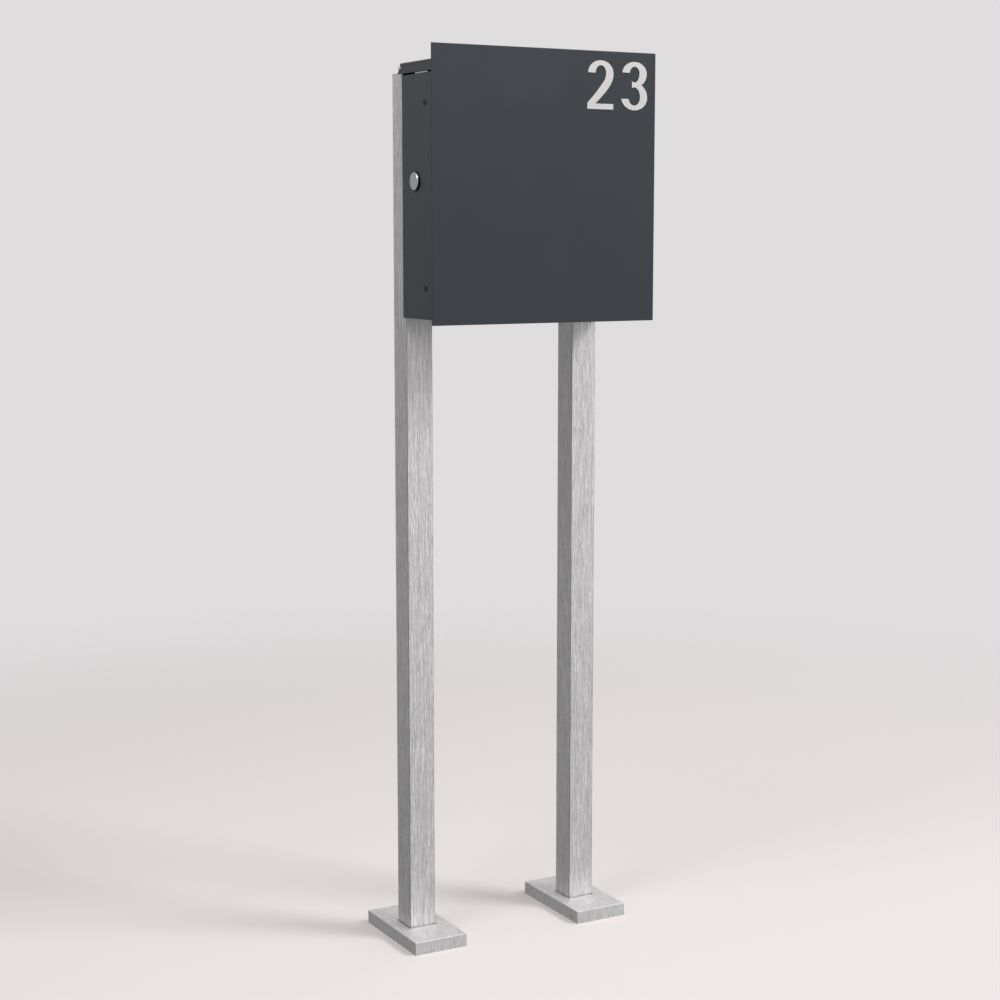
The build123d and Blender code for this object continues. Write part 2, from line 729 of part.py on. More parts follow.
# two hinges: wall leaf with the two outer knuckles, door leaf with the middle one
for place, centre in zip(("lower", "upper"), hinge_centres):
    hinge_low = centre - hinge_length / 2
    middle = hinge_length - 2 * hinge_knuckle
    bore = hinge_pin_radius + hinge_running_clearance
    leaf_far_y = hinge_axis_y + hinge_wall_leaf

    with BuildPart() as wall_leaf:
        with BuildSketch(level(hinge_low)):
            with Locations((hinge_axis_x, hinge_axis_y)):
                Circle(hinge_barrel_radius)
            with Locations((body_half + hinge_leaf_sheet / 2, (hinge_axis_y + leaf_far_y) / 2)):
                Rectangle(hinge_leaf_sheet, leaf_far_y - hinge_axis_y)
            with Locations((hinge_axis_x, hinge_axis_y)):
                Circle(hinge_pin_radius, mode=Mode.SUBTRACT)
        extrude(amount=hinge_length)
        # the middle is cut away for the door's knuckle
        with BuildSketch(level(centre - middle / 2)):
            with Locations((hinge_axis_x, hinge_axis_y)):
                Rectangle(3 * hinge_barrel_radius, 2 * hinge_barrel_radius + 1)
        extrude(amount=middle, mode=Mode.SUBTRACT)
        with BuildSketch(flank(body_half)):
            with Locations((hinge_screw_y, centre)):
                with GridLocations(1, hinge_screw_spacing, 1, 2):
                    Circle(side_screw_radius + side_clearance)
        extrude(amount=hinge_leaf_sheet, mode=Mode.SUBTRACT)
    wall_leaf.part.label = f"{place}_wall_leaf"
    export_step(wall_leaf.part, f"parts/{place}_wall_leaf.step")

    with BuildPart() as door_leaf:
        knuckle = middle - 2 * hinge_knuckle_gap
        with BuildSketch(level(hinge_low)):
            with Locations((hinge_axis_x + hinge_leaf_from, plate_thickness)):
                Rectangle(
                    hinge_door_leaf - hinge_leaf_from,
                    hinge_leaf_sheet,
                    align=(Align.MIN, Align.MIN),
                )
        extrude(amount=hinge_length)
        with BuildSketch(level(centre - knuckle / 2)):
            with Locations((hinge_axis_x, hinge_axis_y)):
                Circle(hinge_barrel_radius)
            with Locations((hinge_axis_x, plate_thickness)):
                Rectangle(hinge_door_leaf, hinge_leaf_sheet, align=(Align.MIN, Align.MIN))
            with Locations((hinge_axis_x, hinge_axis_y)):
                Circle(bore, mode=Mode.SUBTRACT)
        extrude(amount=knuckle)
    door_leaf.part.label = f"{place}_door_leaf"
    export_step(door_leaf.part, f"parts/{place}_door_leaf.step")

    with BuildPart() as hinge_pin:
        with BuildSketch(level(hinge_low)):
            with Locations((hinge_axis_x, hinge_axis_y)):
                Circle(hinge_pin_radius)
        extrude(amount=hinge_length)
    hinge_pin.part.label = f"{place}_hinge_pin"
    export_step(hinge_pin.part, f"parts/{place}_hinge_pin.step")

# screws of the wall leaves and their nuts inside the body
hinge_screw_places = [
    (hinge_screw_y, centre + step)
    for centre in hinge_centres
    for step in (-hinge_screw_spacing / 2, hinge_screw_spacing / 2)
]
with BuildPart() as hinge_screws:
    with BuildSketch(flank(body_half + hinge_leaf_sheet)):
        with Locations(*hinge_screw_places):
            Circle(hinge_screw_head_radius)
    extrude(amount=hinge_screw_head_height)
    head_edges = hinge_screws.faces().filter_by(Axis.X).group_by(Axis.X)[-1].edges()
    fillet(head_edges, radius=hinge_screw_head_height / 2)
    with BuildSketch(flank(body_half + hinge_leaf_sheet)):
        with Locations(*hinge_screw_places):
            Circle(side_screw_radius)
    extrude(amount=-hinge_screw_length)
    with BuildSketch(flank(body_half + hinge_leaf_sheet + hinge_screw_head_height)):
        with Locations(*hinge_screw_places):
            RegularPolygon(hex_socket / 2, 6, major_radius=False)
    extrude(amount=-hex_socket_depth, mode=Mode.SUBTRACT)
hinge_screws.part.label = "hinge_screws"
export_step(hinge_screws.part, "parts/hinge_screws.step")

with BuildPart() as hinge_nuts:
    with BuildSketch(flank(inner_half)):
        with Locations(*hinge_screw_places):
            RegularPolygon(side_nut_size / 2, 6, major_radius=False)
            Circle(side_screw_radius, mode=Mode.SUBTRACT)
    extrude(amount=-side_nut_thickness)
hinge_nuts.part.label = "hinge_nuts"
export_step(hinge_nuts.part, "parts/hinge_nuts.step")

# ---- cam lock -----------------------------------------------------------------

# housing: rosette outside, threaded barrel with two flats through the wall
with BuildPart() as lock_housing:
    with BuildSketch(flank(rosette_face)):
        with Locations((lock_from_plate, lock_z)):
            Circle(rosette_radius)
    extrude(amount=rosette_thickness)
    rim = lock_housing.faces().filter_by(Axis.X).sort_by(Axis.X)[0].edges()
    chamfer(rim, length=rosette_chamfer)
    with BuildSketch(flank(-body_half)):
        with Locations((lock_from_plate, lock_z)):
            Circle(lock_barrel_radius)
            Rectangle(lock_barrel_flats, 3 * lock_barrel_radius, mode=Mode.INTERSECT)
    extrude(amount=lock_barrel_depth)
    with BuildSketch(flank(rosette_face)):
        with Locations((lock_from_plate, lock_z)):
            Circle(plug_radius)
    extrude(amount=rosette_thickness + lock_barrel_depth, mode=Mode.SUBTRACT)
    with BuildSketch(flank(rosette_face)):
        with Locations((lock_from_plate, lock_z)):
            Circle(plug_head_radius)
    extrude(amount=plug_recess + plug_head_depth + plug_clearance, mode=Mode.SUBTRACT)
    with BuildSketch(flank(rosette_face)):
        with Locations((lock_from_plate, lock_z + dust_pin_offset)):
            Circle(dust_pin_radius)
    extrude(amount=rosette_thickness, mode=Mode.SUBTRACT)
lock_housing.part.label = "lock_housing"
export_step(lock_housing.part, "parts/lock_housing.step")

with BuildPart() as lock_nut:
    with BuildSketch(flank(-inner_half)):
        with Locations((lock_from_plate, lock_z)):
            RegularPolygon(lock_nut_size / 2, 6, major_radius=False)
            Circle(lock_barrel_radius, mode=Mode.SUBTRACT)
    extrude(amount=lock_nut_thickness)
lock_nut.part.label = "lock_nut"
export_step(lock_nut.part, "parts/lock_nut.step")

# plug with a keyway in front and a square end for the cam
with BuildPart() as lock_plug:
    with BuildSketch(flank(plug_face)):
        with Locations((lock_from_plate, lock_z)):
            Circle(plug_head_radius - plug_clearance)
    extrude(amount=plug_head_depth)
    with BuildSketch(flank(plug_face)):
        with Locations((lock_from_plate, lock_z)):
            Circle(plug_radius - plug_clearance)
    extrude(amount=cam_outer - plug_face)
    with BuildSketch(flank(cam_outer)):
        with Locations((lock_from_plate, lock_z)):
            Rectangle(cam_square, cam_square)
    extrude(amount=cam_thickness)
    with BuildSketch(flank(plug_face)):
        with Locations((lock_from_plate, lock_z)):
            Rectangle(keyway_length, keyway_width)
    extrude(amount=keyway_depth, mode=Mode.SUBTRACT)
    with BuildSketch(flank(cam_inner)):
        with Locations((lock_from_plate, lock_z)):
            Circle(cam_screw_radius)
    extrude(amount=-cam_screw_length, mode=Mode.SUBTRACT)
lock_plug.part.label = "lock_plug"
export_step(lock_plug.part, "parts/lock_plug.step")

# cam: flat blade with a round end; it points forward here, which is unlocked,
# and a quarter turn up brings it in front of the catch's lip
with BuildPart() as lock_cam:
    with BuildSketch(flank(cam_outer)):
        with Locations((lock_from_plate, lock_z)):
            Circle(cam_width / 2 + 1)
        with Locations((lock_from_plate - (cam_length - cam_width / 2) / 2, lock_z)):
            Rectangle(cam_length - cam_width / 2, cam_width)
        with Locations((lock_from_plate - cam_length + cam_width / 2, lock_z)):
            Circle(cam_width / 2)
        with Locations((lock_from_plate, lock_z)):
            Rectangle(cam_square, cam_square, mode=Mode.SUBTRACT)
    extrude(amount=cam_thickness)
lock_cam.part.label = "lock_cam"
export_step(lock_cam.part, "parts/lock_cam.step")

with BuildPart() as cam_screw:
    with BuildSketch(flank(cam_inner)):
        with Locations((lock_from_plate, lock_z)):
            Circle(cam_screw_head_radius)
    extrude(amount=cam_screw_head_height)
    head_edges = cam_screw.faces().filter_by(Axis.X).sort_by(Axis.X)[-1].edges()
    fillet(head_edges, radius=cam_screw_head_height / 3)
    with BuildSketch(flank(cam_inner)):
        with Locations((lock_from_plate, lock_z)):
            Circle(cam_screw_radius)
    extrude(amount=-cam_screw_length)
cam_screw.part.label = "cam_screw"
export_step(cam_screw.part, "parts/cam_screw.step")

# swinging cover that keeps rain out of the keyway, and the pin it hangs on
with BuildPart() as dust_cover:
    with BuildSketch(flank(dust_cover_back)):
        with Locations((lock_from_plate, lock_z)):
            Circle(dust_cover_radius)
        with Locations((lock_from_plate, lock_z + dust_pin_offset)):
            Circle(dust_pin_radius + dust_pin_clearance, mode=Mode.SUBTRACT)
    extrude(amount=-dust_cover_thickness)
    outer = dust_cover.faces().filter_by(Axis.X).sort_by(Axis.X)[0].edges()
    chamfer(outer.sort_by(SortBy.RADIUS)[-1:], length=dust_cover_chamfer)
dust_cover.part.label = "dust_cover"
export_step(dust_cover.part, "parts/dust_cover.step")

with BuildPart() as dust_cover_pin:
    with BuildSketch(flank(dust_cover_back - dust_cover_thickness)):
        with Locations((lock_from_plate, lock_z + dust_pin_offset)):
            Circle(dust_pin_radius)
    extrude(amount=dust_cover_thickness + dust_cover_gap + rosette_thickness)
dust_cover_pin.part.label = "dust_cover_pin"
export_step(dust_cover_pin.part, "parts/dust_cover_pin.step")

# ---- house number -------------------------------------------------------------

digit_bottom = plate_base + plate_height - digit_from_top - digit_height
digit_two_x = plate_right - digit_two_from_right
digit_three_x = plate_right - digit_three_from_right


def bowl(x, z, half_width, rise, fall):
    """Edges of a rounded outline about (x, z) that rises and falls by different amounts."""
    with BuildLine() as outline:
        EllipticalCenterArc((x, z), half_width, rise, start_angle=0, arc_size=180)
        EllipticalCenterArc((x, z), half_width, fall, start_angle=180, arc_size=180)
    return outline.edges()


# 2: open bowl, curved diagonal, flat base
two_right = digit_two_x + digit_two_width
bowl_half = (digit_two_width - two_bowl_inset) / 2
bowl_x = two_right - bowl_half
bowl_z = digit_bottom + digit_height - two_bowl_height
base_top = digit_bottom + digit_base
with BuildPart() as digit_two:
    with BuildSketch(facing(0)):
        with Locations((bowl_x, bowl_z)):
            Ellipse(bowl_half, two_bowl_height)
            Ellipse(bowl_half - stroke, two_bowl_height - stroke_flat, mode=Mode.SUBTRACT)
            with Locations((0, -two_bowl_height / 2)):
                Rectangle(digit_two_width, two_bowl_height, mode=Mode.SUBTRACT)
        with BuildLine():
            Polyline((two_right - stroke, bowl_z), (two_right, bowl_z))
            Spline(
                (two_right, bowl_z),
                (digit_two_x + 0.858 * digit_two_width, digit_bottom + 0.481 * digit_height),
                (digit_two_x + 0.541 * digit_two_width, digit_bottom + 0.254 * digit_height),
                (digit_two_x + 0.31 * digit_two_width, base_top),
                tangents=((0, -1), (-1, -0.95)),
            )
            Polyline(
                (digit_two_x + 0.31 * digit_two_width, base_top),
                (two_right, base_top),
                (two_right, digit_bottom),
                (digit_two_x, digit_bottom),
                (digit_two_x, base_top + 0.6),
            )
            Spline(
                (digit_two_x, base_top + 0.6),
                (digit_two_x + 0.41 * digit_two_width, digit_bottom + 0.401 * digit_height),
                (digit_two_x + 0.578 * digit_two_width, digit_bottom + 0.535 * digit_height),
                (two_right - stroke, bowl_z),
                tangents=((1, 1.03), (0, 1)),
            )
        make_face()
    extrude(amount=digit_thickness)
digit_two.part.label = "digit_two"
export_step(digit_two.part, "parts/digit_two.step")

# 3: two open bowls that share a short arm at the waist
low_half = digit_three_width / 2
low_x = digit_three_x + low_half
low_z = digit_bottom + three_low_height
high_half = (digit_three_width - three_high_left_inset - three_high_right_inset) / 2
high_x = digit_three_x + three_high_left_inset + high_half
high_z = digit_bottom + digit_height - three_high_height
waist_low = digit_bottom + three_waist - stroke_flat / 2
waist_high = waist_low + stroke_flat
with BuildPart() as digit_three:
    with BuildSketch(facing(0)):
        make_face(bowl(high_x, high_z, high_half, three_high_height, high_z - waist_low))
        make_face(bowl(low_x, low_z, low_half, waist_high - low_z, three_low_height))
        inner_half_width = high_half - stroke
        inner_rise = three_high_height - stroke_flat
        make_face(
            bowl(high_x, high_z, inner_half_width, inner_rise, high_z - waist_high),
            mode=Mode.SUBTRACT,
        )
        inner_half_width = low_half - stroke
        inner_fall = three_low_height - stroke_flat
        make_face(
            bowl(low_x, low_z, inner_half_width, waist_low - low_z, inner_fall),
            mode=Mode.SUBTRACT,
        )
        # the left side is open between the two ends
        opening_low = low_z - three_low_end
        opening_high = high_z + three_high_end
        with Locations((digit_three_x + three_arm_from_left, (opening_low + opening_high) / 2)):
            Rectangle(
                digit_three_width,
                opening_high - opening_low,
                align=(Align.MAX, Align.CENTER),
                mode=Mode.SUBTRACT,
            )
    extrude(amount=digit_thickness)
digit_three.part.label = "digit_three"
export_step(digit_three.part, "parts/digit_three.step")
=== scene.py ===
import json
from math import cos, pi, radians, sin

import bmesh
import bpy
from bpy.props import FloatProperty, FloatVectorProperty, IntProperty, PointerProperty
from mathutils import Matrix, Vector


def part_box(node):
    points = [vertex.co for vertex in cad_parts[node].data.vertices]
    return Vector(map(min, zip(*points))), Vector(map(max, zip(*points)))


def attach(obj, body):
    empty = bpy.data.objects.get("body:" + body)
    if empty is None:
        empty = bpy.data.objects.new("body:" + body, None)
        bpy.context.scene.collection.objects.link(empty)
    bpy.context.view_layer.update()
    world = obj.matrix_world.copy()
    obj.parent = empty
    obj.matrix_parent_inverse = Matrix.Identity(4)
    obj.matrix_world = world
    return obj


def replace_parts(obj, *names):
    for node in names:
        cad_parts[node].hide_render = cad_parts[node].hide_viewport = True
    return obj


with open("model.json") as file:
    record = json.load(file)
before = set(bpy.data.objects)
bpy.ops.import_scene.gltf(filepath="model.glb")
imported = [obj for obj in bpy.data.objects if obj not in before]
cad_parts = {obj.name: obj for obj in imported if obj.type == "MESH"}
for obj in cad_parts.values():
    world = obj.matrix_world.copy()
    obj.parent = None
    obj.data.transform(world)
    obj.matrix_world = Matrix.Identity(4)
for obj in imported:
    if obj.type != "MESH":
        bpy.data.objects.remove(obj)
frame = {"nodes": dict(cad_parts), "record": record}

bl_info = {
    "name": "Free-standing letterbox",
    "version": (1, 0, 0),
    "blender": (4, 5, 0),
    "location": "View3D > Sidebar > Letterbox",
    "description": "Finishes a letterbox on two posts: edges, welds, coatings and a studio",
    "category": "Object",
}

RECORD = frame["record"]
BODY_OF = {n: body for body, nodes in RECORD["behaviour"]["bodies"].items() for n in nodes}
SLOT_OF = {part["node"]: part["material_slot"] for part in RECORD["subparts"]}
HANDS = ("left", "right")
MM = 0.001

SHARP = radians(32)  # an edge that turns more than this gets rounded
SHADED_AS_ONE = radians(42)  # faces that meet at less than this look like one
FLAT = radians(0.5)  # triangles that meet at less than this are one face
SAME_CORNER = 0.002 * MM  # corners nearer than this are one corner

# Nearly all of a noise's values lie in this span. A Mix node has a pair of inputs
# and an output for each kind of value, and these are their places.
NOISE_SPAN = {"From Min": 0.3, "From Max": 0.7}
FACTOR, VECTOR_A, VECTOR_B, COLOUR_A, COLOUR_B = 0, 4, 5, 6, 7
MIXED_VECTOR, MIXED_COLOUR = 1, 2


def linear(code):
    """An sRGB hex colour as linear red, green and blue."""
    parts = [int(code[i : i + 2], 16) / 255 for i in (1, 3, 5)]
    return tuple(c / 12.92 if c <= 0.04045 else ((c + 0.055) / 1.055) ** 2.4 for c in parts)


# ---- what a user would change -------------------------------------------------


def length(name, description, default):
    return FloatProperty(
        name=name, description=description, default=default, min=0.0,
        unit="LENGTH", subtype="DISTANCE", precision=5,
    )


def colour(name, description, code):
    return FloatVectorProperty(
        name=name, description=description, default=linear(code), min=0.0, max=1.0,
        size=3, subtype="COLOR",
    )


class LETTERBOX_PG_edges(bpy.types.PropertyGroup):
    sheet: length("Sheet", "Rounding of the cut edges of the folded sheets", 0.35 * MM)
    plate: length("Door plate", "Rounding of the edges of the front plate", 0.5 * MM)
    post: length("Post", "Rounding of the sawn ends of the posts", 0.3 * MM)
    cover: length("Foot cover", "Rounding of the cut edges of the foot covers", 0.3 * MM)
    digit: length("Digit", "Rounding of the edges of the house number", 0.25 * MM)
    pad: length("Rubber", "Rounding of the gasket and of the lid's pads", 0.65 * MM)
    hardware: length("Hardware", "Rounding of screws, nuts, hinges and lock", 0.25 * MM)
    steps: IntProperty(
        name="Steps", description="Faces across each rounded edge", default=3, min=1, max=6
    )


class LETTERBOX_PG_details(bpy.types.PropertyGroup):
    foot_bead: length("Foot bead", "Width of the welds round the posts", 2.56 * MM)
    sleeve_bead: length("Sleeve bead", "Width of the welds on the sleeves", 2.24 * MM)
    bead_pitch: length("Bead pitch", "Distance from one ripple of a weld to the next", 1.6 * MM)
    pin_head_radius: length("Pin head", "Radius of the rounded ends of the hinge pins", 3.0 * MM)
    pin_head_height: length("Pin head height", "Height of the ends of the hinge pins", 1.4 * MM)


class LETTERBOX_PG_finishes(bpy.types.PropertyGroup):
    door: colour("Door paint", "Colour of the front plate", "#242B31")
    # The body and lid are the same powder coat as the door but drawn lighter: painted light that
    # makes up for the weaker light on the body's sides.
    body: colour("Body paint", "Colour of the body and the lid", "#313437")
    inner: colour("Inner paint", "Colour of the sheets inside", "#2F3234")
    post: colour("Post steel", "Colour of the brushed posts", "#D4D3D3")
    cover: colour("Cover steel", "Colour of the brushed foot covers", "#DCDBDB")
    plate: colour("Plate steel", "Colour of the base plates", "#A9A8A6")
    digit: colour("Number steel", "Colour of the house number", "#C9C7C7")
    chrome: colour("Chrome", "Colour of the lock's chrome", "#DEDEE0")
    # The lock's ring is coloured near black as painted shade: it stands in for the dark
    # reflection that its chrome rim shows.
    lock_ring_shade: colour("Lock ring shade", "Colour of the lock's ring", "#0E0E10")
    bolt: colour("Fastener steel", "Colour of bolts, nuts and washers", "#BDBBB8")
    rod: colour("Rod steel", "Colour of the hinge rod and pins", "#CFCFD0")
    screw: colour("Screw black", "Colour of the dark screws on the sides", "#2B2B2D")
    brass: colour("Plug brass", "Colour of the lock's plug", "#C9B27A")
    # The pads' pale grey is partly the silicone's own tone and partly painted light: it stands
    # in for the bright strip of light seen through the gap under the lid.
    seal: colour("Gasket", "Colour of the door gasket", "#1B1B1C")
    pad: colour("Pads", "Colour of the lid's pads", "#8E8E8C")
    streak_width: length("Streak width", "Width of the brush marks on the posts", 0.9 * MM)
    streak_length: length("Streak length", "Length of the brush marks on the posts", 42 * MM)
    coat_grain: length("Coat grain", "Size of the powder coat's texture", 0.6 * MM)


class LETTERBOX_PG_stage(bpy.types.PropertyGroup):
    camera: FloatVectorProperty(
        name="Camera", description="Where the camera stands", size=3,
        default=(-1.40675, -2.51235, 1.0435), subtype="TRANSLATION", unit="LENGTH",
    )
    heading: FloatProperty(
        name="Heading", description="How far the camera turns to the right of straight on",
        default=radians(29.02), subtype="ANGLE",
    )
    tilt: FloatProperty(
        name="Tilt", description="How far the camera looks down",
        default=radians(7.81), subtype="ANGLE",
    )
    lens: FloatProperty(
        name="Lens", description="Focal length in millimetres", default=70.93, min=10, max=300
    )
    key_power: FloatProperty(
        name="Key light", description="Power of the light in front on the right",
        default=128, min=0, subtype="POWER", unit="POWER",
    )
    top_power: FloatProperty(
        name="Top light", description="Power of the light overhead",
        default=8, min=0, subtype="POWER", unit="POWER",
    )
    floor: colour("Floor", "Colour of the floor", "#D9D3D3")
    distance: colour("Distance", "Colour that the floor fades into", "#DFDDDE")


# ---- materials ----------------------------------------------------------------


def add(tree, kind, inputs=None, **settings):
    """Adds a node with its settings; an input is a value or a socket to link from."""
    made = tree.nodes.new(kind)
    for key, value in settings.items():
        setattr(made, key, value)
    for key, value in (inputs or {}).items():
        if isinstance(value, bpy.types.NodeSocket):
            tree.links.new(value, made.inputs[key])
        else:
            made.inputs[key].default_value = value
    return made


def surface(name, **values):
    """A new material and its shader, with values that are the same all over."""
    material = bpy.data.materials.new(name)
    material.use_nodes = True
    tree = material.node_tree
    tree.nodes.clear()
    bsdf = add(tree, "ShaderNodeBsdfPrincipled")
    for key, value in values.items():
        bsdf.inputs[key.replace("_", " ")].default_value = value
    add(tree, "ShaderNodeOutputMaterial", {"Surface": bsdf.outputs[0]})
    return material, tree, bsdf


def toned(rgb, amount):
    """A colour made lighter or darker, as a four-part value."""
    return (*(min(1.0, c * amount) for c in rgb), 1.0)


def powder_coat(name, rgb, grain, roughness=0.42):
    # Polyester powder coat, sprayed and baked: an even matt skin with a fine
    # pebbled texture that softens every reflection. The real pebbles are about
    # 0.2 mm; they are drawn at the coat grain so that they show at all.
    cloud, speck, pebble_height = 70 * MM, 1.3 * MM, 0.03 * MM
    cloud_shift, speck_shift, gloss_shift = 0.07, 0.05, 0.03
    material, tree, bsdf = surface(name, IOR=1.5, Specular_IOR_Level=0.42)
    place = add(tree, "ShaderNodeTexCoord").outputs["Object"]
    clouds = add(
        tree, "ShaderNodeTexNoise", {"Vector": place, "Scale": 1 / cloud, "Detail": 3.0}
    )
    specks = add(
        tree, "ShaderNodeTexNoise", {"Vector": place, "Scale": 1 / speck, "Detail": 2.0}
    )
    pebbles = add(
        tree, "ShaderNodeTexNoise", {"Vector": place, "Scale": 1 / grain, "Detail": 1.0}
    )
    tint = add(
        tree, "ShaderNodeMix",
        {
            FACTOR: clouds.outputs[0],
            COLOUR_A: toned(rgb, 1 - cloud_shift),
            COLOUR_B: toned(rgb, 1 + cloud_shift),
        },
        data_type="RGBA",
    )
    dots = add(
        tree, "ShaderNodeMapRange",
        {
            "Value": specks.outputs[0], **NOISE_SPAN,
            "To Min": 1 - speck_shift, "To Max": 1 + speck_shift,
        },
    )
    skin = add(
        tree, "ShaderNodeVectorMath",
        {0: tint.outputs[MIXED_COLOUR], "Scale": dots.outputs[0]}, operation="SCALE",
    )
    matt = add(
        tree, "ShaderNodeMapRange",
        {
            "Value": clouds.outputs[0], **NOISE_SPAN,
            "To Min": roughness - gloss_shift, "To Max": roughness + gloss_shift,
        },
    )
    bump = add(
        tree, "ShaderNodeBump",
        {"Height": pebbles.outputs[0], "Distance": pebble_height, "Strength": 0.6},
    )
    tree.links.new(skin.outputs[0], bsdf.inputs["Base Color"])
    tree.links.new(matt.outputs[0], bsdf.inputs["Roughness"])
    tree.links.new(bump.outputs[0], bsdf.inputs["Normal"])
    return material


def belt_ground_steel(name, rgb, streak, contrast, roughness, on_top=False, corner=1.0):
    # Stainless steel ground with a belt: parallel streaks, lighter and darker,
    # that run up the piece, and from front to rear on its level faces. The grit
    # leaves scratches of about 0.1 mm; they are drawn as wide as they need to be
    # to show as streaks. The colour is darkened on the rolled corners of a tube,
    # with a ragged border: painted shade that stands in for the dark reflection
    # that the corners show.
    width, run = streak
    level_from = 0.7  # the upward part of a level face's normal
    finer, elsewhere = (1.6, 1.6, 5.0), (7.0, 3.0, 5.0)  # how the scratches differ
    scratch_depth, gloss_shift = 0.03 * MM, 0.06
    corner_starts, corner_ends = 0.1, 0.22  # how far a normal turns, times a noise
    material, tree, bsdf = surface(name, Metallic=1.0)
    place = add(tree, "ShaderNodeTexCoord")
    along = add(
        tree, "ShaderNodeMapping",
        {"Vector": place.outputs["Object"], "Scale": (1 / width, 1 / width, 1 / run)},
    ).outputs[0]
    facing = add(tree, "ShaderNodeSeparateXYZ", {0: place.outputs["Normal"]})
    if on_top:
        level = add(
            tree, "ShaderNodeMath", {0: facing.outputs[2], 1: level_from},
            operation="GREATER_THAN",
        )
        back = add(
            tree, "ShaderNodeMapping",
            {"Vector": place.outputs["Object"], "Scale": (1 / width, 1 / run, 1 / width)},
        )
        along = add(
            tree, "ShaderNodeMix",
            {FACTOR: level.outputs[0], VECTOR_A: along, VECTOR_B: back.outputs[0]},
            data_type="VECTOR",
        ).outputs[MIXED_VECTOR]
    streaks = add(
        tree, "ShaderNodeTexNoise",
        {"Vector": along, "Scale": 1.0, "Detail": 2.0, "Roughness": 0.7},
    )
    shorter = add(
        tree, "ShaderNodeMapping", {"Vector": along, "Scale": finer, "Location": elsewhere}
    )
    scratches = add(
        tree, "ShaderNodeTexNoise",
        {"Vector": shorter.outputs[0], "Scale": 1.0, "Detail": 2.0, "Roughness": 0.6},
    )
    broad, thin = (
        add(
            tree, "ShaderNodeMapRange",
            {
                "Value": noise.outputs[0], **NOISE_SPAN,
                "To Min": 1 - contrast, "To Max": 1 + contrast,
            },
        )
        for noise in (streaks, scratches)
    )
    both = add(
        tree, "ShaderNodeMath", {0: broad.outputs[0], 1: thin.outputs[0]}, operation="MULTIPLY"
    )
    across = add(
        tree, "ShaderNodeMath", {0: facing.outputs[0], 1: facing.outputs[1]},
        operation="MULTIPLY",
    )
    turned = add(tree, "ShaderNodeMath", {0: across.outputs[0]}, operation="ABSOLUTE")
    ragged = add(
        tree, "ShaderNodeMath", {0: turned.outputs[0], 1: scratches.outputs[0]},
        operation="MULTIPLY",
    )
    # painted shade: the colour on the rolled corners is darkened, with a ragged border, to stand
    # in for their dark reflection
    painted_corner_shade = add(
        tree, "ShaderNodeMapRange",
        {
            "Value": ragged.outputs[0], "From Min": corner_starts, "From Max": corner_ends,
            "To Min": 1.0, "To Max": corner,
        },
    )
    value = add(
        tree, "ShaderNodeMath", {0: both.outputs[0], 1: painted_corner_shade.outputs[0]}, operation="MULTIPLY"
    )
    ground = add(
        tree, "ShaderNodeVectorMath", {0: tuple(rgb), "Scale": value.outputs[0]},
        operation="SCALE",
    )
    rough = add(
        tree, "ShaderNodeMapRange",
        {
            "Value": scratches.outputs[0], **NOISE_SPAN,
            "To Min": roughness - gloss_shift, "To Max": roughness + gloss_shift,
        },
    )
    bump = add(
        tree, "ShaderNodeBump",
        {"Height": scratches.outputs[0], "Distance": scratch_depth, "Strength": 0.35},
    )
    tree.links.new(ground.outputs[0], bsdf.inputs["Base Color"])
    tree.links.new(rough.outputs[0], bsdf.inputs["Roughness"])
    tree.links.new(bump.outputs[0], bsdf.inputs["Normal"])
    return material


def plain_steel(name, rgb, roughness, grain=2.5 * MM, contrast=0.06, metallic=1.0):
    # Metal as drawn, pressed, turned or cast, plated or blackened but not
    # ground: an even sheen with faint cloudy marks from the tools and from
    # handling.
    smoother, rougher = 0.04, 0.06
    material, tree, bsdf = surface(name, Metallic=metallic)
    place = add(tree, "ShaderNodeTexCoord").outputs["Object"]
    clouds = add(
        tree, "ShaderNodeTexNoise", {"Vector": place, "Scale": 1 / grain, "Detail": 3.0}
    )
    spread = add(tree, "ShaderNodeMapRange", {"Value": clouds.outputs[0], **NOISE_SPAN})
    tint = add(
        tree, "ShaderNodeMix",
        {
            FACTOR: spread.outputs[0],
            COLOUR_A: toned(rgb, 1 - contrast),
            COLOUR_B: toned(rgb, 1 + contrast),
        },
        data_type="RGBA",
    )
    rough = add(
        tree, "ShaderNodeMapRange",
        {
            "Value": clouds.outputs[0], **NOISE_SPAN,
            "To Min": roughness - smoother, "To Max": roughness + rougher,
        },
    )
    tree.links.new(tint.outputs[MIXED_COLOUR], bsdf.inputs["Base Color"])
    tree.links.new(rough.outputs[0], bsdf.inputs["Roughness"])
    return material


def rubber(name, rgb, roughness, pores):
    # Foamed or cast silicone and rubber: no gloss, and a surface of small pores.
    pore_depth, shade = 0.06 * MM, 0.15
    material, tree, bsdf = surface(name, IOR=1.45, Roughness=roughness)
    place = add(tree, "ShaderNodeTexCoord").outputs["Object"]
    holes = add(
        tree, "ShaderNodeTexNoise", {"Vector": place, "Scale": 1 / pores, "Detail": 2.0}
    )
    tint = add(
        tree, "ShaderNodeMix",
        {
            FACTOR: holes.outputs[0],
            COLOUR_A: toned(rgb, 1 - shade),
            COLOUR_B: toned(rgb, 1 + shade),
        },
        data_type="RGBA",
    )
    bump = add(
        tree, "ShaderNodeBump",
        {"Height": holes.outputs[0], "Distance": pore_depth, "Strength": 0.6},
    )
    tree.links.new(tint.outputs[MIXED_COLOUR], bsdf.inputs["Base Color"])
    tree.links.new(bump.outputs[0], bsdf.inputs["Normal"])
    return material


